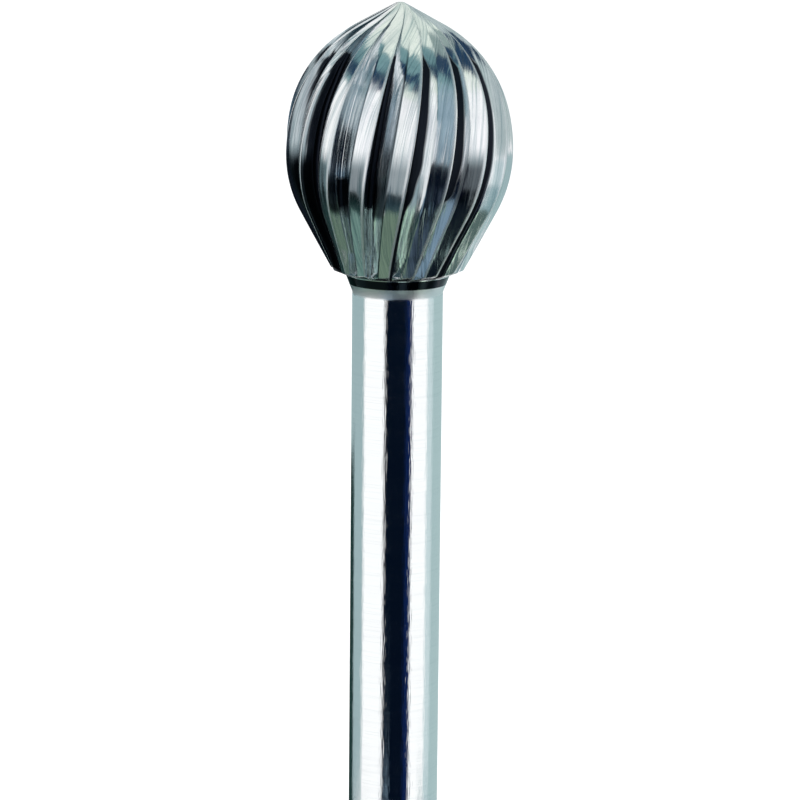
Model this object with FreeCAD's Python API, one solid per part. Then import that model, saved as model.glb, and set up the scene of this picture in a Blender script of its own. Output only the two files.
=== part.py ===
import FreeCAD, Part
import math
import os

# Oval rotary burr, ground from one bar. Millimetres, +Z up.
# The centre of the shank end is the origin, and the tip points up.

# Overall sizes
overall_length = 38.1
shank_diameter = 3.175
shank_chamfer = 0.22
head_diameter = 7.94

# Profile of the head, from the tip downwards. Ratios are to crown_height.
tip_flat_diameter = 0.24
crown_height = 5.08       # from the tip down to the widest place
crown_radius_ratio = 1.20  # of the arc that rises from the widest place
crown_arc_angle = 12.0    # degrees of that arc
shoulder_radius_ratio = 0.89  # of the arc between the crown and the tip cone
belly_radius = 4.5        # of the arc below the widest place
back_cone_angle = 28.2    # degrees from the axis
rim_diameter = 4.69
collar_diameter = 3.66
rim_chamfer_height = 0.21
neck_height = 0.62

# Teeth, with their section at the widest place
tooth_count = 17
helix_angle = 9.5         # degrees from the axis, measured along the profile
first_tooth_angle = 6.4   # of a cutting edge at the widest place, from -Y towards +X
flute_depth = 0.70
gullet_radius = 0.11
gullet_flats = 3          # the gullet's round is made of this many flats
rake_angle = 4.0
land_width = 0.05
relief_angle = 25.0       # of the facet behind each cutting edge
relief_share = 0.42       # of the tooth pitch taken by that facet

# The flutes grow shallower towards both ends
tip_depth_share = 0.25
full_depth_diameter = 6.8  # the flutes are fully deep where the crown is wider than this
end_depth_share = 0.6
run_out_length = 1.0      # length over which they grow shallower at the rim

# Derived sizes
head_radius = head_diameter / 2
shank_radius = shank_diameter / 2
pitch = 2 * math.pi / tooth_count


def point(radius, depth):
    """A point of the profile, at a radius and at a depth below the tip."""
    return FreeCAD.Vector(radius, 0, overall_length - depth)


def touch_angle(centre, arc_radius, outside, side):
    """Angle at which a line from an outside point touches a circle, on the side given by +1 or -1."""
    away = (outside[0] - centre[0], outside[1] - centre[1])
    return math.atan2(away[1], away[0]) + side * math.acos(arc_radius / math.hypot(*away))


# Arcs of the profile in (radius, depth below the tip)
crown_radius = crown_height * crown_radius_ratio
shoulder_radius = crown_height * shoulder_radius_ratio
crown_centre = (head_radius - crown_radius, crown_height)
crown_turn = math.radians(crown_arc_angle)
crown_end = (
    crown_centre[0] + crown_radius * math.cos(crown_turn),
    crown_centre[1] - crown_radius * math.sin(crown_turn),
)
shoulder_centre = (
    crown_end[0] - shoulder_radius * math.cos(crown_turn),
    crown_end[1] + shoulder_radius * math.sin(crown_turn),
)
tip_turn = touch_angle(shoulder_centre, shoulder_radius, (tip_flat_diameter / 2, 0.0), 1)
tip_cone_end = (
    shoulder_centre[0] + shoulder_radius * math.cos(tip_turn),
    shoulder_centre[1] + shoulder_radius * math.sin(tip_turn),
)
tip_slope = (tip_cone_end[0] - tip_flat_diameter / 2) / tip_cone_end[1]
back_slope = math.radians(back_cone_angle)
belly_end_radius = head_radius - belly_radius * (1 - math.cos(back_slope))
belly_end = crown_height + belly_radius * math.sin(back_slope)
rim_depth = belly_end + (belly_end_radius - rim_diameter / 2) / math.tan(back_slope)
collar_depth = rim_depth + rim_chamfer_height
neck_depth = collar_depth + neck_height


def on_arc(centre_radius, centre_depth, arc_radius, depth):
    """Outer radius of an arc of the profile at a depth."""
    return centre_radius + math.sqrt(arc_radius ** 2 - (depth - centre_depth) ** 2)


def radius_at(depth):
    """Radius of the uncut head at a depth between the tip and the rim."""
    if depth < tip_cone_end[1]:
        return tip_flat_diameter / 2 + depth * tip_slope
    if depth < crown_end[1]:
        return on_arc(shoulder_centre[0], shoulder_centre[1], shoulder_radius, depth)
    if depth < crown_height:
        return on_arc(crown_centre[0], crown_height, crown_radius, depth)
    if depth < belly_end:
        return on_arc(head_radius - belly_radius, crown_height, belly_radius, depth)
    return belly_end_radius - (depth - belly_end) * math.tan(back_slope)


def revolved(corners):
    """Solid of revolution about Z, from the (radius, depth) corners of its half section."""
    ring = [point(*c) for c in corners]
    face = Part.Face(Part.makePolygon(ring + ring[:1]))
    return face.revolve(FreeCAD.Vector(0, 0, 0), FreeCAD.Vector(0, 0, 1), 360)


def twist_at(depth):
    """Turn of a flute at a depth, in radians, zero at the widest place and growing upwards."""
    steps = 300
    step = (crown_height - depth) / steps
    turn = 0.0
    for i in range(steps):
        middle = depth + (i + 0.5) * step
        slant = (radius_at(middle - 0.01) - radius_at(middle + 0.01)) / 0.02
        turn += step * math.hypot(1.0, slant) / radius_at(middle)
    return turn * math.tan(math.radians(helix_angle))


def polar(radius, angle):
    return FreeCAD.Vector(radius * math.cos(angle), radius * math.sin(angle), 0)


def gullet_corners(edge, down, knee):
    """Corners of the flats that touch the gullet's round, from the rake face to the knee of the back."""
    fillet = gullet_radius / head_radius
    side = FreeCAD.Vector(down.y, -down.x, 0)
    reach = math.sqrt((1 - flute_depth / head_radius + fillet) ** 2 - (edge.dot(side) + fillet) ** 2)
    centre = edge + down * (-edge.dot(down) - reach) + side * fillet
    last = touch_angle((centre.x, centre.y), fillet, (knee.x, knee.y), 1)
    first = math.atan2(-side.y, -side.x) % (2 * math.pi)
    step = (first - last) / (gullet_flats + 1)
    span = fillet / math.cos(step / 2)
    return [centre + polar(span, first - step * (i + 0.5)) for i in range(gullet_flats + 1)]


def tooth_section():
    """Corners of one tooth space on a head of radius 1, from a cutting edge at angle 0 to the next heel."""
    rake, fall = math.radians(rake_angle), math.radians(relief_angle)
    edge = polar(1.0, 0)
    down = polar(-1.0, rake)
    heel_angle = pitch - land_width / head_radius
    heel = polar(1.0, heel_angle)
    knee = heel + polar(pitch * relief_share / math.cos(fall), heel_angle - math.pi / 2 - fall)
    return [edge] + gullet_corners(edge, down, knee) + [knee, heel]


def depth_share(depth):
    """Share of the full flute depth at a depth below the tip."""
    full = full_depth_diameter / 2
    start = tip_flat_diameter / 2
    at_tip = min(1.0, (radius_at(depth) - start) / (full - start)) if depth < crown_height else 1.0
    at_end = min(1.0, max(0.0, (collar_depth - depth) / run_out_length))
    tip_share = tip_depth_share + (1 - tip_depth_share) * at_tip ** 2
    return tip_share * (end_depth_share + (1 - end_depth_share) * at_end)


def placed(corner, depth):
    """A corner of the section, set on the head at a depth below the tip."""
    radius = radius_at(depth) * (1 - (1 - corner.Length) * depth_share(depth))
    angle = math.atan2(corner.y, corner.x) + twist_at(depth)
    height = FreeCAD.Vector(0, 0, overall_length - depth)
    return height + polar(radius, angle + math.radians(first_tooth_angle) - math.pi / 2)


def section_depths():
    """Depths below the tip at which the sections stand: close together at the tip, then evenly spaced."""
    start = tip_flat_diameter / 2
    depths = [0.0]
    radius = start
    while radius * 1.5 < tip_cone_end[0]:
        radius *= 1.5
        depths.append((radius - start) / tip_slope)
    count = 12
    last = depths[-1]
    return depths + [last + (collar_depth - last) * (i + 1) / count for i in range(count)]


def rail(corner, depths):
    """Smooth helical curve that one corner of the section follows."""
    curve = Part.BSplineCurve()
    points = [placed(corner, d) for d in depths]
    curve.interpolate(Points=points, Parameters=[float(i) for i in range(len(depths))])
    return curve


def strip(one, other):
    """Face ruled between two rails."""
    surface = Part.BSplineSurface()
    poles = [one.getPoles(), other.getPoles()]
    mults, knots = one.getMultiplicities(), one.getKnots()
    surface.buildFromPolesMultsKnots(poles, [2, 2], mults, [0.0, 1.0], knots, False, False, 1, 3)
    return surface.toShape()


def turned(shape, count):
    """A copy of a shape, turned about the axis by a number of tooth pitches."""
    copy = shape.copy()
    copy.rotate(FreeCAD.Vector(0, 0, 0), FreeCAD.Vector(0, 0, 1), 360.0 * count / tooth_count)
    return copy


def tooth_faces():
    """Faces of one tooth space: rake, gullet, back and relief, and the land of the next tooth."""
    depths = section_depths()
    section = tooth_section()
    rails = [rail(c, depths) for c in section]
    rails.append(rail(polar(1.0, pitch), depths))
    return [strip(a, b) for a, b in zip(rails, rails[1:])]


def end_face(faces, height):
    """Flat face that closes the head at one of its ends."""
    edges = []
    for edge in [e for f in faces for e in f.Edges]:
        box = edge.BoundBox
        if max(abs(box.ZMin - height), abs(box.ZMax - height)) < 1e-5:
            edges.append(edge)
    return Part.Face(Part.Wire(Part.__sortEdges__(edges)))


def toothed_head():
    """The head with all of its teeth, ended flat at the tip and at the collar."""
    one = tooth_faces()
    faces = [turned(f, i) for i in range(tooth_count) for f in one]
    faces += [end_face(faces, overall_length), end_face(faces, overall_length - collar_depth)]
    shell = Part.Shell(faces)
    shell.sewShape()
    solid = Part.Solid(shell)
    return solid if solid.Volume > 0 else solid.reversed()


def rim_cutter():
    """Ring that cuts the chamfer under the rim, through the lower ends of the flutes."""
    fall = (rim_diameter - collar_diameter) / 2 / rim_chamfer_height
    above, below = 0.6, 0.2
    top = (rim_diameter / 2 + above * fall, rim_depth - above)
    bottom = (collar_diameter / 2 - below * fall, collar_depth + below)
    return revolved([top, bottom, (head_diameter, bottom[1]), (head_diameter, top[1])])


def neck_and_shank():
    """Everything below the head: a conical neck and the plain shank with its chamfered end."""
    foot = overall_length
    return revolved([
        (0, collar_depth),
        (collar_diameter / 2, collar_depth),
        (shank_radius, neck_depth),
        (shank_radius, foot - shank_chamfer),
        (shank_radius - shank_chamfer, foot),
        (0, foot),
    ])


def burr():
    """The whole burr as one solid."""
    return toothed_head().cut(rim_cutter()).fuse(neck_and_shank()).removeSplitter()


os.makedirs("parts", exist_ok=True)
burr().Solids[0].exportStep("parts/oval_burr.step")
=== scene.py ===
import math
from collections import namedtuple

import bpy
from bpy.props import FloatProperty, FloatVectorProperty, IntProperty, PointerProperty
from bpy.types import Operator, Panel, PropertyGroup
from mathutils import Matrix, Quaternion, Vector


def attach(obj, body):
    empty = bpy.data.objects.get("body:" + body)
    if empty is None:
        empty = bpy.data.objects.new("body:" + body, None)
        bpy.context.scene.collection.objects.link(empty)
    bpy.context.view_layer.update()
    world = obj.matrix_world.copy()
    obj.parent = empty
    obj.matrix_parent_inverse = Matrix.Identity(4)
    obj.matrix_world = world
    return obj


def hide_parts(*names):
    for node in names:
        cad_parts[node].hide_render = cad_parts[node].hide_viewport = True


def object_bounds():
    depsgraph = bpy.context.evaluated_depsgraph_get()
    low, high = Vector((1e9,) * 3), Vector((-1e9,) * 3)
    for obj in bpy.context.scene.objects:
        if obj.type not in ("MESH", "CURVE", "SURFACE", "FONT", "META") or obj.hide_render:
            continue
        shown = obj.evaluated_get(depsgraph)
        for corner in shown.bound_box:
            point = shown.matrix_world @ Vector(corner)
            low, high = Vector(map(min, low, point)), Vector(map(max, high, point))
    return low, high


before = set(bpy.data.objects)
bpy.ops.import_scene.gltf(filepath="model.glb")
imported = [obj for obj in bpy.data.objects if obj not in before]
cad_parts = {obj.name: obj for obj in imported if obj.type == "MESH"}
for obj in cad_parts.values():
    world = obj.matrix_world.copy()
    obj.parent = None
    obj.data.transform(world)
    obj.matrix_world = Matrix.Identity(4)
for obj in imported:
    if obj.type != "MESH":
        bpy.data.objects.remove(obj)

bl_info = {
    "name": "Oval rotary burr",
    "version": (1, 0, 0),
    "blender": (4, 5, 0),
    "location": "View3D > Sidebar > Oval burr",
    "description": "Builds an oval rotary burr in ground steel, and a small studio for it",
    "category": "Add Mesh",
}

CAD_LOW, CAD_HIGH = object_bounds()
MM = 0.001


def length(name, description, default):
    """A length property, in metres."""
    return FloatProperty(name=name, description=description, default=default, unit="LENGTH", precision=5)


def angle(name, description, degrees):
    """An angle property, given in degrees."""
    return FloatProperty(
        name=name, description=description, default=math.radians(degrees), subtype="ANGLE"
    )


def colour(name, description, default):
    """A colour property."""
    return FloatVectorProperty(
        name=name, description=description, default=default, subtype="COLOR", min=0.0, max=1.0
    )


def share(name, description, default):
    """A plain number property."""
    return FloatProperty(name=name, description=description, default=default)


class BurrShape(PropertyGroup):
    """Sizes of the burr."""

    overall_length: length("Overall length", "From the shank end to the tip", CAD_HIGH.z)
    head_diameter: length("Head diameter", "Width over the cutting edges", 7.94 * MM)
    shank_diameter: length("Shank diameter", "Width of the plain shank", 3.175 * MM)
    shank_chamfer: length("Shank chamfer", "Chamfer round the shank end", 0.22 * MM)
    tip_flat_diameter: length("Tip flat", "Width of the flat at the tip", 0.24 * MM)
    crown_height: length("Crown height", "From the tip down to the widest place", 5.08 * MM)
    crown_radius_ratio: share("Crown radius", "Radius of the crown, as a share of its height", 1.20)
    shoulder_radius_ratio: share("Shoulder radius", "Radius above it, as a share of the height", 0.89)
    crown_arc: angle("Crown arc", "Turn of the arc that rises from the widest place", 12.0)
    belly_radius: length("Belly radius", "Radius of the arc below the widest place", 4.5 * MM)
    back_cone: angle("Back cone", "Slope of the cone behind the belly", 28.2)
    rim_diameter: length("Rim diameter", "Width of the head at its rear rim", 4.69 * MM)
    collar_diameter: length("Collar diameter", "Width under the rim chamfer", 3.66 * MM)
    rim_chamfer_height: length("Rim chamfer", "Height of the rim chamfer", 0.21 * MM)
    neck_height: length("Neck height", "Height of the conical neck", 0.62 * MM)


class ToothShape(PropertyGroup):
    """Sizes of the teeth."""

    tooth_count: IntProperty(name="Teeth", description="Number of teeth", default=17, min=3)
    helix: angle("Helix", "Slant of the teeth along the profile", 9.5)
    first_tooth: angle("First tooth", "Place of one cutting edge at the widest place", 6.4)
    flute_depth: length("Flute depth", "Depth of the flutes at the widest place", 0.70 * MM)
    gullet_radius: length("Gullet radius", "Round at the bottom of a flute", 0.11 * MM)
    rake: angle("Rake", "Lean of the cutting face", 4.0)
    land_width: length("Land width", "Narrow land behind a cutting edge", 0.05 * MM)
    relief: angle("Relief", "Slope of the facet behind the land", 25.0)
    relief_share: share("Relief share", "Share of the pitch that this facet takes", 0.42)
    tip_depth_share: share("Depth at the tip", "Share of the flute depth left at the tip", 0.25)
    full_depth_diameter: length("Full depth diameter", "Width at which flutes are fully deep", 6.8 * MM)
    end_depth_share: share("Depth at the rim", "Share of the flute depth left at the rim", 0.6)
    run_out_length: length("Run-out length", "Length over which flutes end at the rim", 1.0 * MM)
    edge_wear: length("Edge wear", "How far the edges are worn back from the full width", 0.004 * MM)
    edge_round: length("Edge round", "Round on the cutting edges", 0.010 * MM)
    knee_round: length("Knee round", "Round between the two facets of a tooth back", 0.035 * MM)


class SteelFinish(PropertyGroup):
    """Colours and finish of the ground steel."""

    steel: colour("Steel", "Colour of the bright ground steel", (0.90, 0.925, 0.93))
    # This colour is also the first step of the painted shade on shaded tooth faces
    streak_and_shade: colour("Streaks", "Colour of the darker grinding streaks", (0.33, 0.44, 0.48))
    tint: colour("Heat tint", "Faint lilac tint left by grinding heat", (0.86, 0.86, 0.895))
    # Colour of the painted shade: gullets, back facets and the neck recess are darkened to stand in for their
    # shade and dark reflections
    groove: colour("Gullets", "Colour at the bottom of the flutes", (0.020, 0.024, 0.034))
    edge: colour("Edges", "Colour of the freshly ground edges", (0.90, 0.92, 0.93))
    head_roughness: share("Head roughness", "Mean roughness of the facets", 0.16)
    shank_roughness: share("Shank roughness", "Mean roughness of the shank", 0.09)


class StudioStage(PropertyGroup):
    """The floor, the light and the camera."""

    floor: colour("Floor", "Colour of the pale floor", (0.88, 0.88, 0.88))
    floor_radius: length("Floor radius", "Radius of the floor", 1.2)
    elevation: angle("Camera elevation", "Height of the camera above the horizon", 11.15)
    distance: length("Camera distance", "From the camera to the point it looks at", 121.4 * MM)
    lens: FloatProperty(name="Lens", description="Focal length in millimetres", default=155.4)
    roll: angle("Camera roll", "Lean of the camera", 0.55)
    aim_height: length("Aim height", "Height of the point the camera looks at", 24.15 * MM)
    aim_side: length("Aim side", "How far that point is to the right of the axis", 0.12 * MM)


def polar(radius, turn):
    """A point at a radius and an angle."""
    return Vector((radius * math.cos(turn), radius * math.sin(turn)))


def touch_angle(centre, radius, outside, side):
    """Angle at which a line from an outside point touches a circle, on one side of it."""
    away = outside - centre
    return math.atan2(away.y, away.x) + side * math.acos(radius / away.length)


class HeadOutline:
    """Profile of the uncut head, by depth below the tip."""

    def __init__(self, size, teeth):
        self.size, self.teeth = size, teeth
        self.tip = size.tip_flat_diameter / 2
        self.widest = size.head_diameter / 2
        self.crown = size.crown_height * size.crown_radius_ratio
        self.shoulder = size.crown_height * size.shoulder_radius_ratio
        self.crown_centre = Vector((self.widest - self.crown, size.crown_height))
        self.crown_end = self.crown_centre + polar(self.crown, -size.crown_arc)
        self.shoulder_centre = self.crown_end - polar(self.shoulder, -size.crown_arc)
        turn = touch_angle(self.shoulder_centre, self.shoulder, Vector((self.tip, 0.0)), 1)
        self.cone_end = self.shoulder_centre + polar(self.shoulder, turn)
        self.tip_slope = (self.cone_end.x - self.tip) / self.cone_end.y
        self.belly_centre = Vector((self.widest - size.belly_radius, size.crown_height))
        self.belly_end = self.belly_centre + polar(size.belly_radius, size.back_cone)
        fall = self.belly_end.x - size.rim_diameter / 2
        self.rim_depth = self.belly_end.y + fall / math.tan(size.back_cone)
        self.collar_depth = self.rim_depth + size.rim_chamfer_height
        self.neck_depth = self.collar_depth + size.neck_height

    def radius(self, depth):
        """Radius of the uncut head at a depth."""
        if depth < self.cone_end.y:
            return self.tip + depth * self.tip_slope
        if depth < self.crown_end.y:
            return self.on_arc(self.shoulder_centre, self.shoulder, depth)
        if depth < self.size.crown_height:
            return self.on_arc(self.crown_centre, self.crown, depth)
        if depth < self.belly_end.y:
            return self.on_arc(self.belly_centre, self.size.belly_radius, depth)
        return self.belly_end.x - (depth - self.belly_end.y) * math.tan(self.size.back_cone)

    def on_arc(self, centre, radius, depth):
        """Outer radius of an arc of the profile at a depth."""
        return centre.x + math.sqrt(radius**2 - (depth - centre.y) ** 2)

    def chamfer(self, depth):
        """Radius of the chamfer cone under the rim at a depth, or no limit above it."""
        if depth <= self.rim_depth:
            return 1.0
        along = (depth - self.rim_depth) / self.size.rim_chamfer_height
        rim, collar = self.size.rim_diameter / 2, self.size.collar_diameter / 2
        return rim + (collar - rim) * min(1.0, along)

    def depth_share(self, depth):
        """Share of the full flute depth at a depth below the tip."""
        teeth = self.teeth
        at_tip = (self.radius(depth) - self.tip) / (teeth.full_depth_diameter / 2 - self.tip)
        at_tip = min(1.0, at_tip) if depth < self.size.crown_height else 1.0
        at_end = min(1.0, max(0.0, (self.collar_depth - depth) / teeth.run_out_length))
        tip_share = teeth.tip_depth_share + (1 - teeth.tip_depth_share) * at_tip**2
        return tip_share * (teeth.end_depth_share + (1 - teeth.end_depth_share) * at_end)

    def ring_depths(self):
        """Depths of the rings, closer together at the tip and under the rim."""
        keys = [self.cone_end.y, self.crown_end.y, self.size.crown_height, self.belly_end.y, self.rim_depth]
        depths, step = [0.0], 0.010 * MM
        for key in keys:
            while depths[-1] + 1.4 * step < key:
                depths.append(depths[-1] + step)
                step = min(0.076 * MM, step * 1.15)
            depths.append(key)
        rim_rings = 14
        for i in range(rim_rings):
            depths.append(self.rim_depth + self.size.rim_chamfer_height * (i + 1) / rim_rings)
        return depths

    def twists(self, depths):
        """Turn of the teeth at each depth, zero at the widest place and growing upwards."""
        turns, turn, parts = [0.0], 0.0, 12
        for low, high in zip(depths, depths[1:]):
            step = (high - low) / parts
            for i in range(parts):
                middle = low + (i + 0.5) * step
                slant = (self.radius(middle + 0.3 * step) - self.radius(middle - 0.3 * step)) / (0.6 * step)
                turn += step * math.hypot(1.0, slant) / self.radius(middle)
            turns.append(turn)
        zero = turns[depths.index(self.size.crown_height)]
        return [(zero - t) * math.tan(self.teeth.helix) for t in turns]


def rounded(before, corner, after, reach):
    """Three points that round a corner."""
    first = corner + (before - corner).normalized() * reach
    last = corner + (after - corner).normalized() * reach
    return [first, (first + corner * 2 + last) / 4, last]


# Painted shade of one tooth: darker colour standing in for the shade and dark reflections of its flute. Each
# reach says how far the painted shade of its gullet covers the back facet: at the widest place, and at two
# depths under it. The other values say how much painted shade darkens its faces, up to 1 for as dark as the
# gullets.
ToothShade = namedtuple("ToothShade", "reach reach_under reach_low rake rake_under relief knee back")
TOOTH_SHADES = (
    ToothShade(0.55, 0.38, -0.20, 0.10, 0.10, 0.15, 0.20, 0.00),
    ToothShade(0.82, 0.70, -0.80, 0.20, 0.10, 0.88, 0.00, 0.00),
    ToothShade(1.06, 0.95, 0.90, 0.20, 0.30, 0.00, 0.50, 0.30),
    ToothShade(0.90, 0.80, 0.60, 0.30, 0.60, 0.10, 0.40, 0.60),
    ToothShade(0.60, 0.20, -0.40, 0.50, 0.30, 0.50, 0.20, 0.80),
    ToothShade(0.35, 0.60, 0.80, 0.40, 0.60, 0.30, 0.50, 0.20),
    ToothShade(0.50, 0.30, -0.20, 0.20, 0.20, 0.60, 0.30, 0.90),
    ToothShade(0.70, 0.90, 0.40, 0.60, 0.80, 0.20, 0.00, 0.50),
    ToothShade(0.30, 0.00, -0.60, 0.50, 0.30, 0.40, 0.50, 0.70),
    ToothShade(0.55, 0.70, 0.90, 0.30, 0.50, 0.70, 0.20, 0.30),
    ToothShade(0.75, 0.40, -0.20, 0.60, 0.20, 0.30, 0.40, 0.80),
    ToothShade(0.40, 0.60, 0.30, 0.40, 0.70, 0.50, 0.10, 0.50),
    ToothShade(0.60, 0.30, -0.20, 0.50, 0.40, 0.60, 0.50, 0.70),
    ToothShade(0.25, 0.80, 0.90, 0.30, 0.90, 0.30, 0.20, 0.80),
    ToothShade(0.45, 0.90, 0.90, 0.35, 0.92, 0.65, 0.00, 0.80),
    ToothShade(-1.00, -0.30, -0.60, 0.00, 0.00, 0.70, 0.60, 0.95),
    ToothShade(0.02, 0.05, -1.00, 0.00, 0.00, 0.60, 0.90, 0.93),
)
REACH_UNDER, REACH_LOW = 1.1, 2.3  # those two depths, in millimetres
TIP_FACE_SHADE = 0.6  # painted shade of the gullets near the tip, where the painted shade of the flutes fades out


def clamped(value):
    """A value kept between 0 and 1."""
    return max(0.0, min(1.0, value))


def ramp(value, start, end):
    """Goes smoothly from 0 at the start to 1 at the end, and stays level beyond them."""
    along = clamped((value - start) / (end - start))
    return along * along * (3 - 2 * along)


def painted_shade_at(kind, share, tooth_shade, fade, lower):
    """Above zero where a tooth's face gets the painted shade of its flute, and below where it is left bright.

    The share runs across the back facet from 0 to 1. Fade is 0 at the tip, and lower is the depth under the
    widest place, in millimetres.
    """
    reach = tooth_shade.reach + (tooth_shade.reach_under - tooth_shade.reach) * ramp(lower, 0.0, REACH_UNDER)
    reach += (tooth_shade.reach_low - tooth_shade.reach_under) * ramp(lower, REACH_UNDER, REACH_LOW)
    unshaded = 1.2 * (1 - fade)
    if kind == "gullet":
        return min(0.5, reach + 0.5) - unshaded
    if kind == "rake":
        return -0.5 - unshaded
    return reach - share - unshaded if kind != "land" else -1.0


def face_shade_level(kind, tooth_shade, fade, lower):
    """How much painted shade darkens a tooth's face, with fade and lower as above."""
    if kind == "gullet":
        return TIP_FACE_SHADE * (1 - fade)
    if kind == "rake":
        return fade * (tooth_shade.rake + (tooth_shade.rake_under - tooth_shade.rake) * ramp(lower, -0.4, 0.4))
    if kind == "back":
        return tooth_shade.back * min(ramp(lower, 0.2, 1.0), ramp(lower, 2.2, 1.9))
    band = tooth_shade.relief * min(ramp(lower, -0.5, 0.4), ramp(lower, 1.8, 1.2))
    if kind == "knee":
        return max(tooth_shade.knee * fade, band)
    return band if kind == "relief" else 0.0


def spread(start, end, count):
    """Evenly spaced points from one point up to, but without, another."""
    return [start.lerp(end, i / count) for i in range(count)]


# Strips across each face of a tooth space
RAKE_STRIPS = 4
GULLET_STRIPS = 8
BACK_STRIPS = 6
RELIEF_STRIPS = 7
LAND_STRIPS = 2


def tooth_section(outline):
    """Points of one tooth space on a head of radius 1, each with the kind of face that follows it."""
    teeth, head = outline.teeth, outline.widest
    pitch = 2 * math.pi / teeth.tooth_count
    edge, down = polar(1.0, 0.0), polar(-1.0, teeth.rake)
    heel_turn = pitch - teeth.land_width / head
    heel = polar(1.0, heel_turn)
    fall = teeth.relief
    knee = heel + polar(pitch * teeth.relief_share / math.cos(fall), heel_turn - math.pi / 2 - fall)
    fillet, side = teeth.gullet_radius / head, Vector((down.y, -down.x))
    floor = 1 - teeth.flute_depth / head + fillet
    reach = math.sqrt(floor**2 - (edge.dot(side) + fillet) ** 2)
    centre = edge + down * (-edge.dot(down) - reach) + side * fillet
    last = touch_angle(centre, fillet, knee, 1)
    first = math.atan2(-side.y, -side.x) % (2 * math.pi)
    turns = [first + (last - first) * i / GULLET_STRIPS for i in range(GULLET_STRIPS + 1)]
    arc = [centre + polar(fillet, turn) for turn in turns]
    tip_round, knee_round = teeth.edge_round / head, teeth.knee_round / head
    next_edge = polar(1.0, pitch)
    beyond = next_edge + polar(-1.0, teeth.rake + pitch)
    knees = rounded(arc[-1], knee, heel, knee_round)
    heels = rounded(knee, heel, next_edge, tip_round * 1.5)
    edges = rounded(heel, next_edge, beyond, tip_round)
    back = Quaternion((0, 0, 1), -pitch)
    start = (back @ edges[-1].to_3d()).to_2d()
    points = [(p, "rake") for p in spread(start, arc[0], RAKE_STRIPS)]
    points += [(p, "gullet") for p in arc[:-1]]
    points += [(p, "back") for p in spread(arc[-1], knees[0], BACK_STRIPS)]
    points += [(p, "knee") for p in knees[:2]]
    points += [(p, "relief") for p in spread(knees[2], heels[0], RELIEF_STRIPS)]
    points += [(p, "land") for p in heels[:2]]
    points += [(p, "land") for p in spread(heels[2], edges[0], LAND_STRIPS)]
    return points + [(p, "land") for p in edges[:2]]


class Ring:
    """One ring of the burr's surface, with its distances across the teeth and along them."""

    def __init__(self, points, height, across, along, groove, dull, edge):
        self.points, self.height = points, height
        self.across, self.along = across, along
        self.groove, self.dull, self.edge = groove, dull, edge


def share_across(i):
    """How far across the back facet a point of the section lies, or over 1 beyond the knee."""
    back = RAKE_STRIPS + GULLET_STRIPS
    knee = back + BACK_STRIPS
    return (i - back) / BACK_STRIPS if i < knee else 1 + (i - knee) / (2 * BACK_STRIPS)


def head_rings(outline, section):
    """Rings of the toothed head from the tip down to the collar."""
    teeth, size = outline.teeth, outline.size
    pitch = 2 * math.pi / teeth.tooth_count
    depths = outline.ring_depths()
    turns = outline.twists(depths)
    rings, along, before = [], 0.0, None
    for depth, turn in zip(depths, turns):
        outer, kept, cone = outline.radius(depth), outline.depth_share(depth), outline.chamfer(depth)
        if before:
            along += math.hypot(depth - before[0], outer - before[1])
        before = (depth, outer)
        lower = (depth - size.crown_height) / MM
        fade = clamped((kept - 0.50) / 0.35) if lower < 0 else 1.0
        one = []
        for corner, kind in section:
            radius = min(cone, outer * (1 - (1 - corner.length) * kept) - teeth.edge_wear)
            one.append(polar(radius, math.atan2(corner.y, corner.x)))
        closing = polar(one[0].length, math.atan2(one[0].y, one[0].x) + pitch)
        across = [0.0]
        for a, b in zip(one, one[1:] + [closing]):
            across.append(across[-1] + (b - a).length)
        start = turn + teeth.first_tooth - math.pi / 2
        points, groove, dull, edge = [], [], [], []
        for tooth in range(teeth.tooth_count):
            tooth_shade = TOOTH_SHADES[tooth % len(TOOTH_SHADES)]
            for i, (p, (_, kind)) in enumerate(zip(one, section)):
                points.append(polar(p.length, math.atan2(p.y, p.x) + start + tooth * pitch))
                # Painted shade of the flute and of the shaded faces: darker colour standing in for shade and
                # dark reflections
                groove.append(painted_shade_at(kind, share_across(i), tooth_shade, fade, lower))
                dull.append(face_shade_level(kind, tooth_shade, fade, lower))
                unshaded_knee = kind == "knee" and tooth_shade.knee == 0
                edge.append(1.0 if kind == "land" or unshaded_knee else 0.0)
        rings.append(Ring(points, size.overall_length - depth, across, along, groove, dull, edge))
    return rings


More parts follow.
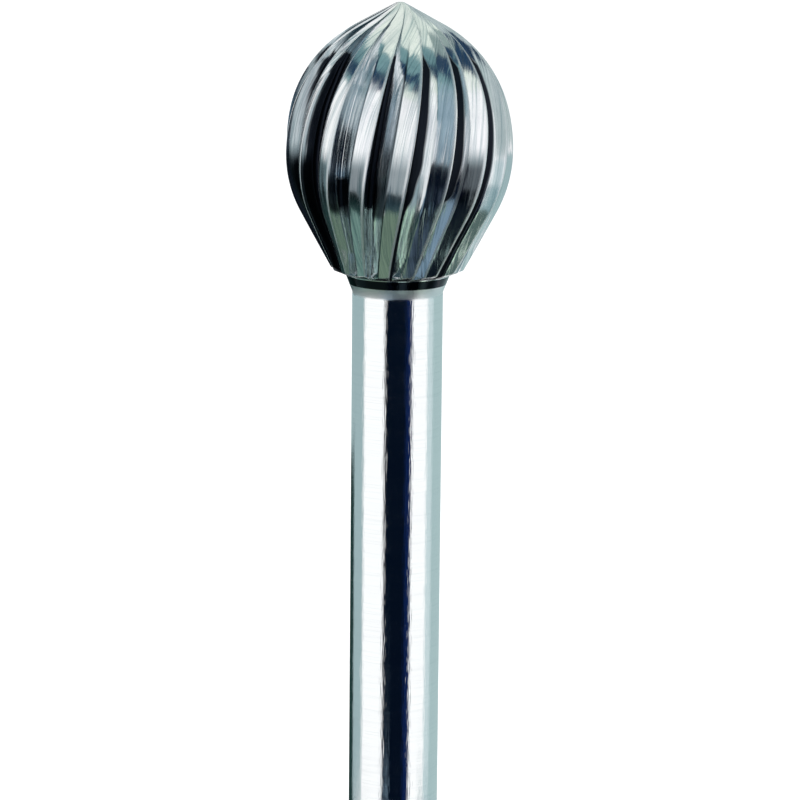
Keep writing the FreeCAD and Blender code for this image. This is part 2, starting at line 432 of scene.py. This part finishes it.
def plain_rings(outline, last):
    """Rings of the neck and the shank, under the last ring of the head."""
    size = outline.size
    shank, end = size.shank_diameter / 2, size.overall_length
    collar, fall = size.collar_diameter / 2, outline.neck_depth - outline.collar_depth
    neck_shares, shaded_neck_rings, satin_rings = (0.05, 0.3, 0.48, 0.56, 1.0), 3, 2
    corners = [(collar + (shank - collar) * k, outline.collar_depth + fall * k) for k in neck_shares]
    first_ring, count = 0.12 * MM, 10  # the first ring keeps the shading of the shank straight up to the neck
    corners.append((shank, outline.neck_depth + first_ring))
    for i in range(1, count + 1):
        depth = outline.neck_depth + (end - size.shank_chamfer - outline.neck_depth) * i / count
        corners.append((shank, depth))
    corners.append((shank - size.shank_chamfer, end))
    rings, along = [], last.along
    radius, depth = collar, outline.collar_depth
    columns = len(last.points)
    none = [0.0] * columns
    start = math.atan2(last.points[0].y, last.points[0].x)
    for new_radius, new_depth in corners:
        along += math.hypot(new_radius - radius, new_depth - depth)
        radius, depth = new_radius, new_depth
        points = [polar(radius, start + 2 * math.pi * i / columns) for i in range(columns)]
        # The upper neck rings get painted shade, for the shade in the recess under the collar
        groove = [1.0 if len(rings) < shaded_neck_rings else -0.2] * columns
        satin = [1.0 if shaded_neck_rings <= len(rings) < shaded_neck_rings + satin_rings else 0.0] * columns
        rings.append(Ring(points, end - depth, last.across, along, groove, none, satin))
    # The collar ring gets no painted shade
    last.groove = [-1.0] * columns
    return rings


def write_values(mesh, name, domain, values):
    """Stores one number for each point or face under a name."""
    mesh.attributes.new(name, "FLOAT", domain).data.foreach_set("value", values)


def burr_mesh(size, teeth):
    """Closed mesh of the whole burr."""
    outline = HeadOutline(size, teeth)
    section = tooth_section(outline)
    head = head_rings(outline, section)
    rings = head + plain_rings(outline, head[-1])
    columns, per_tooth = len(head[0].points), len(section)
    points = [(p.x, p.y, ring.height) for ring in rings for p in ring.points]
    faces, maps, tooth_of, plain = [], [], [], []
    for i, (upper, lower) in enumerate(zip(rings, rings[1:])):
        for j in range(columns):
            k, tooth, step = (j + 1) % columns, j // per_tooth, j % per_tooth
            top, low = i * columns, (i + 1) * columns
            faces.append((top + j, low + j, low + k, top + k))
            maps += [upper.across[step], upper.along, lower.across[step], lower.along]
            maps += [lower.across[step + 1], lower.along, upper.across[step + 1], upper.along]
            tooth_of.append(float(tooth))
            plain.append(0.0 if i < len(head) - 1 else 1.0)
    for base, height, order in ((0, rings[0].height, 1), (len(points) - columns, 0.0, -1)):
        centre = len(points)
        points.append((0.0, 0.0, height))
        for j in range(columns):
            pair = (base + j, base + (j + 1) % columns)[::order]
            faces.append((centre,) + pair)
            maps += [0.0, 0.0, 0.1 * MM, 0.0, 0.1 * MM, 0.1 * MM]
            tooth_of.append(0.0)
            plain.append(0.0 if order == 1 else 1.0)
    mesh = bpy.data.meshes.new("oval_burr_ground")
    mesh.from_pydata(points, [], faces)
    mesh.uv_layers.new(name="grind").uv.foreach_set("vector", maps)
    # The first two hold painted shade for the materials, of the flutes and neck, then of the shaded faces; the
    # last marks the edges
    for name in ("groove", "dull", "edge"):
        values = [v for ring in rings for v in getattr(ring, name)]
        write_values(mesh, name, "POINT", values + [-1.0 if name == "groove" else 0.0] * 2)
    write_values(mesh, "tooth", "FACE", tooth_of)
    write_values(mesh, "plain", "FACE", plain)
    mesh.polygons.foreach_set("material_index", [int(v) for v in plain])
    mesh.polygons.foreach_set("use_smooth", [True] * len(faces))
    mesh.set_sharp_from_angle(angle=math.radians(24))
    mesh.validate()
    return mesh


class Sum:
    """A socket of a material, which adds a Math node for each operation it is used in."""

    def __init__(self, shader, socket):
        self.shader, self.socket = shader, socket

    def math(self, operation, *values):
        node = self.shader.add("ShaderNodeMath", {"operation": operation}, dict(enumerate(values)))
        return self.shader.value(node)

    def __add__(self, other):
        return self.math("ADD", self, other)

    __radd__ = __add__

    def __sub__(self, other):
        return self.math("SUBTRACT", self, other)

    def __rsub__(self, other):
        return self.math("SUBTRACT", other, self)

    def __mul__(self, other):
        return self.math("MULTIPLY", self, other)

    __rmul__ = __mul__

    def __truediv__(self, other):
        return self.math("DIVIDE", self, other)

    def __rtruediv__(self, other):
        return self.math("DIVIDE", other, self)

    def __pow__(self, other):
        return self.math("POWER", self, other)

    def __rpow__(self, other):
        return self.math("POWER", other, self)

    def at_most(self, other):
        return self.math("MINIMUM", self, other)

    def at_least(self, other):
        return self.math("MAXIMUM", self, other)

    def limited(self):
        return self.at_least(0.0).at_most(1.0)

    def between(self, low, high):
        """Rises from 0 to 1 between two values."""
        return ((self - low) / (high - low)).limited()


class Shader:
    """Node tree of a material or a world, filled by one method."""

    def __init__(self, owner):
        owner.use_nodes = True
        self.tree = owner.node_tree
        self.tree.nodes.clear()

    def add(self, kind, settings=None, sockets=None):
        """Adds a node: first its settings, then the values or links of its sockets."""
        node = self.tree.nodes.new(kind)
        count = len(self.tree.nodes)
        node.location = (220 * (count % 12), -260 * (count // 12))
        for name, value in (settings or {}).items():
            setattr(node, name, value)
        for name, value in (sockets or {}).items():
            self.feed(self.socket(node.inputs, name), value)
        return node

    def socket(self, sockets, name):
        """A socket by its number or name, among those that are in use."""
        if isinstance(name, int):
            return sockets[name]
        return next(s for s in sockets if s.enabled and s.name == name)

    def feed(self, socket, value):
        """Links a socket, or gives it a value."""
        if isinstance(value, Sum):
            value = value.socket
        if isinstance(value, bpy.types.NodeSocket):
            self.tree.links.new(value, socket)
        elif hasattr(socket.default_value, "__len__") and len(value) < len(socket.default_value):
            socket.default_value = (*value, 1.0)
        else:
            socket.default_value = value

    def value(self, node, name=0):
        """An output of a node, ready for sums."""
        return Sum(self, self.socket(node.outputs, name))

    def stored(self, name):
        """A number stored in the mesh."""
        return self.value(self.add("ShaderNodeAttribute", {"attribute_name": name}), "Fac")

    def place(self, x, y, z=0.0):
        """A vector from three numbers."""
        return self.add("ShaderNodeCombineXYZ", {}, {"X": x, "Y": y, "Z": z}).outputs[0]

    def noise(self, where, scale=1.0, detail=2.0, rough=0.5):
        """Noise from 0 to 1 at a place."""
        sockets = {"Vector": where, "Scale": scale, "Detail": detail, "Roughness": rough}
        return self.value(self.add("ShaderNodeTexNoise", {}, sockets), "Fac")

    def mix(self, factor, one, other):
        """A mix of two colours."""
        sockets = {"Factor": factor, "A": one, "B": other}
        node = self.add("ShaderNodeMix", {"data_type": "RGBA"}, sockets)
        return self.socket(node.outputs, "Result")


def head_steel(finish):
    """Ground steel of the toothed head, with grinding streaks along each tooth, and painted shade in the
    flutes and on shaded faces.
    """
    made = bpy.data.materials.new("ground_steel_head")
    sh = Shader(made)
    map_node = sh.add("ShaderNodeUVMap", {"uv_map": "grind"})
    split = sh.add("ShaderNodeSeparateXYZ", {}, {"Vector": map_node.outputs[0]})
    across = sh.value(split, "X") * 1000.0
    along = sh.value(split, "Y") * 1000.0
    tooth, groove, edge = sh.stored("tooth"), sh.stored("groove"), sh.stored("edge")
    own = tooth * 5.37
    fine = sh.noise(sh.place(across * 15.0, along * 0.35, own), 1.0, 3.0, 0.6)
    broad = sh.noise(sh.place(across * 5.0, along * 0.20, own + 40.0), 1.0, 2.0, 0.5)
    swell = sh.noise(sh.place(across * 1.8, along * 0.22, own + 120.0), 1.0, 1.0, 0.5)
    patch = sh.noise(sh.place(across * 1.3, along * 0.5, own + 80.0), 1.0, 2.0, 0.5)
    streaks = fine.between(0.50, 0.66) * 0.55 + broad.between(0.44, 0.68) * 0.35
    # Painted shade of the flutes, standing in for their shade and dark reflections, with ragged borders
    dark = (groove + (broad - 0.5) * 0.15 + (patch - 0.5) * 0.15).between(-0.07, 0.07)
    body = sh.mix(patch.between(0.42, 0.62) * 0.7, finish.steel, finish.tint)
    body = sh.mix(streaks, body, finish.streak_and_shade)
    # Painted shade of shaded faces: their colour goes towards the streak colour, then towards the gullet
    # colour
    dull = sh.stored("dull")
    body = sh.mix(dull.between(0.0, 0.6) * 0.7, body, finish.streak_and_shade)
    body = sh.mix(dull**1.4, body, finish.groove)
    body = sh.mix(dark, body, finish.groove)
    body = sh.mix(edge * fine.between(0.3, 0.5) * 0.4, body, finish.edge)
    rough = finish.head_roughness + (streaks - 0.3) * 0.16 + dark * 0.25 + edge * 0.30
    height = fine * 0.6 + broad + swell * 6.0
    bump = sh.add("ShaderNodeBump", {}, {"Strength": 0.6, "Distance": 0.012 * MM, "Height": height})
    steel = sh.add("ShaderNodeBsdfPrincipled", {}, {
        "Base Color": body,
        "Metallic": 1.0,
        "Roughness": rough.at_least(0.08),
        "Normal": bump.outputs[0],
    })
    sh.add("ShaderNodeOutputMaterial", {}, {"Surface": steel.outputs[0]})
    return made


def shank_steel(finish):
    """Ground steel of the neck and the shank, with fine grinding lines round it, and painted shade in the neck
    recess.
    """
    made = bpy.data.materials.new("ground_steel_shank")
    sh = Shader(made)
    spot = sh.add("ShaderNodeTexCoord")
    split = sh.add("ShaderNodeSeparateXYZ", {}, {"Vector": spot.outputs["Object"]})
    x, y, z = [sh.value(split, name) * 1000.0 for name in "XYZ"]
    lines = sh.noise(sh.place(x * 0.35, y * 0.35, z * 22.0), 1.0, 4.0, 0.65)
    bands = sh.noise(sh.place(x * 0.2, y * 0.2, z * 1.3 + 50.0), 1.0, 2.0, 0.5)
    body = sh.mix(lines.between(0.50, 0.75) * 0.12, finish.steel, finish.streak_and_shade)
    body = sh.mix(bands.between(0.45, 0.75) * 0.2, body, finish.tint)
    # Painted shade in the neck recess under the collar
    body = sh.mix(sh.stored("groove").between(0.0, 0.5), body, finish.groove)
    rough = finish.shank_roughness + (lines - 0.5) * 0.10 + (bands - 0.5) * 0.06 + sh.stored("edge") * 0.3
    grain = sh.noise(sh.place(x * 30.0, y * 30.0, z * 1.5), 1.0, 1.0, 0.5)
    height = grain + lines * 0.15
    bump = sh.add("ShaderNodeBump", {}, {"Strength": 1.0, "Distance": 0.003 * MM, "Height": height})
    steel = sh.add("ShaderNodeBsdfPrincipled", {}, {
        "Base Color": body,
        "Metallic": 1.0,
        "Roughness": rough.at_least(0.06),
        "Normal": bump.outputs[0],
    })
    sh.add("ShaderNodeOutputMaterial", {}, {"Surface": steel.outputs[0]})
    return made


WORLD_LEVEL = 0.8  # brightness of the world as the object's diffuse light
FLOOR_GLOW = 0.35  # added to the floor where the camera sees it, so that it meets the white world


def seen_background(sh):
    """1 for rays from the camera, a reflection or glass, and 0 for the light that falls on things."""
    path = sh.add("ShaderNodeLightPath")
    seen = sh.value(path, "Is Camera Ray") + sh.value(path, "Is Glossy Ray")
    return (seen + sh.value(path, "Is Transmission Ray")).at_most(1.0)


def white_world(strength):
    """World that is white behind the object and lights it from all sides."""
    world = bpy.data.worlds.new("white_studio")
    sh = Shader(world)
    seen = seen_background(sh)
    back = sh.add("ShaderNodeBackground", {}, {
        "Color": (1.0, 1.0, 1.0),
        "Strength": seen + (1.0 - seen) * strength,
    })
    sh.add("ShaderNodeOutputWorld", {}, {"Surface": back.outputs[0]})
    bpy.context.scene.world = world


def floor_paint(tint):
    """Pale floor that keeps shadows and is white where the camera or the steel sees it."""
    made = bpy.data.materials.new("pale_floor")
    sh = Shader(made)
    seen = seen_background(sh)
    matt = sh.add("ShaderNodeBsdfDiffuse", {}, {"Color": tint})
    glow = sh.add("ShaderNodeEmission", {}, {"Color": (1.0, 1.0, 1.0), "Strength": seen * FLOOR_GLOW})
    both = sh.add("ShaderNodeAddShader", {}, {0: matt.outputs[0], 1: glow.outputs[0]})
    sh.add("ShaderNodeOutputMaterial", {}, {"Surface": both.outputs[0]})
    return made


def card_paint(name, tint):
    """Lit paint of a reflector card, with soft upright wisps above the level of the shank."""
    made = bpy.data.materials.new(name + "_paint")
    sh = Shader(made)
    spot = sh.add("ShaderNodeTexCoord")
    split = sh.add("ShaderNodeSeparateXYZ", {}, {"Vector": spot.outputs["Object"]})
    x, y, z = [sh.value(split, axis) for axis in "XYZ"]
    wisps = sh.noise(sh.place(x * 26.0, y * 26.0, z * 4.0), 1.0, 3.0, 0.6)
    veil = wisps.between(0.50, 0.70) * z.between(-0.04, 0.06) * 0.85
    dimmed = tuple(v * k for v, k in zip(tint, (0.38, 0.46, 0.50)))
    glow = sh.add("ShaderNodeEmission", {}, {"Color": sh.mix(veil, tint, dimmed), "Strength": 1.0})
    sh.add("ShaderNodeOutputMaterial", {}, {"Surface": glow.outputs[0]})
    return made


def compass(radius, azimuth, height):
    """A point round the object: azimuth 0 is towards the camera, and 90 is to its right."""
    turn = math.radians(azimuth)
    return Vector((radius * math.sin(turn), -radius * math.cos(turn), height))


RIB = 9  # points in each upright row of a card


def card(name, tint, stops, distance=0.6):
    """Curved card round the head, which only reflections see.

    Each stop is an azimuth with the elevations of the card's lower and upper edge, in degrees.
    """
    points, faces = [], []
    for (azimuth, low, high), (end, end_low, end_high) in zip(stops, stops[1:]):
        count = max(1, round(abs(end - azimuth) / 4))
        for i in range(count):
            along = i / count
            ends = ((azimuth, end), (low, end_low), (high, end_high))
            points += card_rib(distance, *(a + (b - a) * along for a, b in ends))
    points += card_rib(distance, *stops[-1])
    ribs = len(points) // RIB
    for i in range(ribs - 1):
        for j in range(RIB - 1):
            k = i * RIB + j
            faces.append((k, k + RIB, k + RIB + 1, k + 1))
    mesh = bpy.data.meshes.new(name)
    mesh.from_pydata(points, [], faces)
    mesh.materials.append(card_paint(name, tint))
    made = bpy.data.objects.new(name, mesh)
    bpy.context.scene.collection.objects.link(made)
    made.visible_camera = False
    made.visible_diffuse = False
    made.visible_shadow = False


def card_rib(distance, azimuth, low, high):
    """One upright row of a card's points."""
    row = []
    for j in range(RIB):
        rise = math.radians(low + (high - low) * j / (RIB - 1))
        row.append(compass(distance * math.cos(rise), azimuth, 0.033 + distance * math.sin(rise)))
    return row


def soft_lamp(name, place, aim, size, level):
    """Rectangular soft lamp whose face has a given brightness."""
    lamp = bpy.data.lights.new(name, "AREA")
    lamp.shape = "RECTANGLE"
    lamp.size, lamp.size_y = size
    lamp.energy = level * math.pi * size[0] * size[1]
    made = bpy.data.objects.new(name, lamp)
    made.location = place
    made.rotation_mode = "QUATERNION"
    made.rotation_quaternion = (aim - place).to_track_quat("-Z", "Y")
    made.visible_camera = False
    made.visible_glossy = False
    bpy.context.scene.collection.objects.link(made)
    return made


def pale_floor(stage):
    """Round floor under the object."""
    count = 96
    points = [(0.0, 0.0, 0.0)]
    for i in range(count):
        points.append(compass(stage.floor_radius, 360.0 * i / count, 0.0))
    faces = [(0, 1 + i, 1 + (i + 1) % count) for i in range(count)]
    mesh = bpy.data.meshes.new("floor")
    mesh.from_pydata(points, [], faces)
    mesh.materials.append(floor_paint(stage.floor))
    made = bpy.data.objects.new("floor", mesh)
    bpy.context.scene.collection.objects.link(made)
    made.visible_glossy = False


def soft_lights():
    """Two tall soft lamps beside the camera and one overhead."""
    middle = Vector((0.0, 0.0, 0.03))
    level = Vector((0.0, 0.0, 0.11))
    soft_lamp("left_softbox", compass(0.30, -63, 0.11), level, (0.28, 0.22), 1.15)
    soft_lamp("right_softbox", compass(0.30, 61, 0.11), level, (0.22, 0.22), 1.15)
    soft_lamp("top_softbox", Vector((0.0, 0.10, 0.42)), middle, (0.36, 0.30), 1.0)


def cards():
    """Bright, dark and tinted cards that draw the bands seen in the steel."""
    card("left_shine", (1.1, 1.1, 1.1), ((-90, -40, 36), (-34, -40, 36)), 0.65)
    card("right_shine", (1.1, 1.1, 1.1), ((40, -30, 40), (84, -30, 40)), 0.65)
    card("front_flag", (0.001, 0.004, 0.012), ((-30, -62, -1), (3, -62, -1), (4, -62, -4), (30, -62, -6)))
    card("front_slate", (0.07, 0.09, 0.13), ((2, -36, -23), (18, -36, -23)), 0.59)
    card("front_low_blue", (0.20, 0.30, 0.39), ((-40, -44, -22), (-13, -44, -19.5)), 0.59)
    card("front_low_pale", (0.46, 0.62, 0.58), ((3, -62, -42), (26, -62, -42)), 0.59)
    card("front_edge", (0.004, 0.014, 0.07), ((24, -30, -5), (39, -30, -5)), 0.59)
    card("front_white", (0.86, 0.87, 0.90), ((-22, -1, 24), (3, -1, 24)))
    card("front_teal", (0.22, 0.34, 0.38), ((-22, 24, 42), (3, 24, 50)))
    card("front_blue", (0.24, 0.34, 0.41), ((3, -4, 8), (22, -4, 8)))
    card("front_pale_blue", (0.34, 0.46, 0.54), ((3, 8, 54), (22, 8, 54)))
    card("front_grey", (0.45, 0.47, 0.50), ((22, -5, 40), (36, -5, 40)))
    card("left_wall", (0.36, 0.48, 0.50), (
        (-180, -13, -5), (-134, -13, -5), (-132, -20, -5), (-92, -20, -5)
    ))
    card("right_wall", (0.62, 0.74, 0.76), ((84, -20, -5), (104, -20, -5)))
    card("right_teal", (0.30, 0.44, 0.47), ((84, -36, -20), (118, -36, -20)))
    card("right_dim", (0.09, 0.14, 0.13), ((82, -50, -36), (118, -50, -36)))
    card("far_right_wall", (0.42, 0.56, 0.57), (
        (104, -20, -5), (118, -30, -5), (150, -30, -5), (180, -16, -5)
    ))
    card("right_middle", (0.32, 0.43, 0.45), ((66, -38, -20), (82, -38, -20)))
    card("right_low", (0.68, 0.94, 0.72), ((66, -62, -38), (80, -62, -38)))
    card("left_foot_flag", (0.016, 0.042, 0.040), (
        (-180, -30, -13), (-134, -30, -13), (-132, -30, -20), (-110, -31, -20.5), (-66, -36, -22)
    ))
    card("middle_foot_flag", (0.030, 0.060, 0.075), ((-66, -40, -23), (-40, -42, -26), (-30, -42, -28)))
    card("left_foot_card", (0.16, 0.27, 0.24), ((-150, -62, -30), (-110, -62, -31), (-92, -62, -32)))
    card("olive_foot_card", (0.15, 0.22, 0.165), ((-92, -62, -33), (-66, -62, -38), (-30, -62, -40)))
    card("blue_foot_card", (0.06, 0.09, 0.13), ((-30, -61.5, -50), (-12, -61.5, -50)), 0.59)
    card("right_foot_flag", (0.004, 0.008, 0.014), (
        (30, -62, -24), (50, -62, -24), (52, -62, -31), (66, -62, -34)
    ))
    card("far_right_green", (0.54, 0.62, 0.62), (
        (86, -3, 36), (120, -3, 48), (150, -3, 46), (180, -3, 40)
    ), 0.67)
    card("low_card", (0.12, 0.14, 0.13), ((-180, -88, -62), (180, -88, -62)))
    card("upper_flag", (0.014, 0.046, 0.100), (
        (-150, 24, 30), (-130, 28, 36), (-100, 34, 46), (-60, 42, 54), (-20, 50, 60), (10, 56, 64),
        (30, 58, 66), (60, 54, 74), (85, 46, 66), (110, 40, 58), (150, 22, 42)
    ))
    card("upper_teal", (0.19, 0.34, 0.36), (
        (-150, 16, 44), (-120, 26, 52), (-90, 40, 68), (-40, 50, 80), (0, 40, 84), (30, 44, 80), (50, 50, 78)
    ), 0.64)
    card("upper_green", (0.34, 0.43, 0.41), ((60, 66, 80), (110, 55, 78), (150, 45, 70)), 0.64)
    card("top_cream", (0.88, 0.95, 0.86), ((-180, 40, 89), (180, 40, 89)), 0.70)


def photo_camera(stage):
    """Camera at the photograph's angle."""
    data = bpy.data.cameras.new("photo_camera")
    data.sensor_width = 36.0
    data.lens = stage.lens
    data.clip_start, data.clip_end = 0.005, 10.0
    made = bpy.data.objects.new("photo_camera", data)
    back = Vector((0.0, -math.cos(stage.elevation), math.sin(stage.elevation)))
    made.location = Vector((stage.aim_side, 0.0, stage.aim_height)) + back * stage.distance
    made.rotation_mode = "QUATERNION"
    upright = (-back).to_track_quat("-Z", "Y")
    made.rotation_quaternion = upright @ Quaternion((0.0, 0.0, 1.0), stage.roll)
    bpy.context.scene.collection.objects.link(made)
    bpy.context.scene.camera = made


class OVALBURR_OT_burr(Operator):
    """Builds the burr in place of its CAD solid"""

    bl_idname = "oval_burr.burr"
    bl_label = "Build the burr"

    def execute(self, context):
        scene = context.scene
        mesh = burr_mesh(scene.burr_shape, scene.burr_teeth)
        mesh.materials.append(head_steel(scene.burr_finish))
        mesh.materials.append(shank_steel(scene.burr_finish))
        made = bpy.data.objects.new("burr_ground", mesh)
        scene.collection.objects.link(made)
        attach(made, "root")
        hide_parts("oval_burr")
        return {"FINISHED"}


class OVALBURR_OT_stage(Operator):
    """Sets the floor, the light, the cards and the camera"""

    bl_idname = "oval_burr.stage"
    bl_label = "Set the stage"

    def execute(self, context):
        stage = context.scene.burr_stage
        context.scene.view_settings.view_transform = "Standard"
        white_world(WORLD_LEVEL)
        pale_floor(stage)
        soft_lights()
        cards()
        photo_camera(stage)
        return {"FINISHED"}


class OVALBURR_PT_panel(Panel):
    """Lists the burr's operators and sizes."""

    bl_label = "Oval burr"
    bl_idname = "OVALBURR_PT_panel"
    bl_space_type = "VIEW_3D"
    bl_region_type = "UI"
    bl_category = "Oval burr"

    def draw(self, context):
        scene = context.scene
        for operator in (OVALBURR_OT_burr, OVALBURR_OT_stage):
            self.layout.operator(operator.bl_idname)
        for group in (scene.burr_shape, scene.burr_teeth, scene.burr_finish, scene.burr_stage):
            box = self.layout.box()
            for name in group.__annotations__:
                box.prop(group, name)


GROUPS = {
    "burr_shape": BurrShape,
    "burr_teeth": ToothShape,
    "burr_finish": SteelFinish,
    "burr_stage": StudioStage,
}
CLASSES = (*GROUPS.values(), OVALBURR_OT_burr, OVALBURR_OT_stage, OVALBURR_PT_panel)


def register():
    for item in CLASSES:
        bpy.utils.register_class(item)
    for name, group in GROUPS.items():
        setattr(bpy.types.Scene, name, PointerProperty(type=group))


def unregister():
    for name in GROUPS:
        delattr(bpy.types.Scene, name)
    for item in reversed(CLASSES):
        bpy.utils.unregister_class(item)


def main():
    register()
    bpy.ops.oval_burr.burr()
    bpy.ops.oval_burr.stage()


if __name__ == "__main__":
    main()
